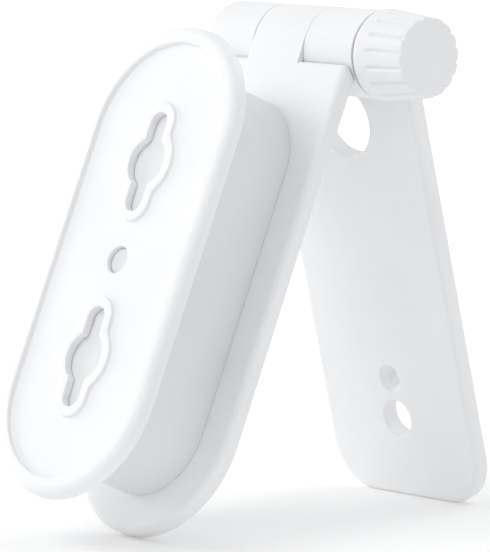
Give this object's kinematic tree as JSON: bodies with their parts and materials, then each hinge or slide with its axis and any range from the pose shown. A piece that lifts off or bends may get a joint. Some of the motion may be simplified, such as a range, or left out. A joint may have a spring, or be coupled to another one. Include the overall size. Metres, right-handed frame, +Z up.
{
  "type": "adjustable hinged mounting bracket",
  "caption": "Angle-adjustable two-leaf plastic mounting bracket: rounded face plate with double keyholes on a spacer, hinged to a wall leaf and locked by a side knob",
  "frame": {"origin": "bottom centre of the standing bracket's bounding box", "axes": "+Z up, hinge axis along X with the knob at +X, face plate towards -Y and rear leaf towards +Y"},
  "size_m": [0.0632, 0.1158, 0.1166],
  "materials": {
    "white_plastic": "satin white moulded plastic with a fine grain",
    "knob_plastic": "satin white moulded plastic, slightly cooler",
    "nylon": "natural nylon, smooth",
    "fibre": "dull pressed fibre",
    "steel": "zinc-plated steel",
    "brass": "turned brass"
  },
  "bodies": {
    "rear_leaf": {"rear_leaf": "white_plastic", "hinge_bolt": "steel", "bolt_cap": "white_plastic", "friction_washer_left": "fibre", "friction_washer_right": "fibre"},
    "front_leaf": {"front_leaf": "white_plastic", "spacer_block": "white_plastic", "face_plate": "white_plastic", "pivot_bush_left": "nylon", "pivot_bush_right": "nylon", "clamp_screw_1": "steel", "clamp_screw_2": "steel", "clamp_screw_3": "steel", "clamp_screw_4": "steel", "spacer_screw_1": "steel", "spacer_screw_2": "steel"},
    "washer_stack": {"flat_washer": "steel", "spring_washer": "steel"},
    "knob": {"knob_body": "knob_plastic", "knob_insert": "brass"}
  },
  "joints": [
    {"name": "leaf_fold", "type": "hinge", "parent": "rear_leaf", "child": "front_leaf", "pos_m": [-0.0074, 0.0218, 0.10624], "axis": [-1, 0, 0], "range_deg": [-37.4, 142.6]},
    {"name": "knob_travel", "type": "slide", "parent": "rear_leaf", "child": "washer_stack", "axis": [1, 0, 0], "range_m": [0, 0.002]},
    {"name": "knob_turn", "type": "hinge", "parent": "washer_stack", "child": "knob", "pos_m": [-0.0074, 0.0218, 0.10624], "axis": [1, 0, 0], "range_deg": [0, 720]}
  ],
  "couplings": [
    {"joint": "knob_turn", "follows": "knob_travel", "rad_per_m": 6283.1}
  ]
}
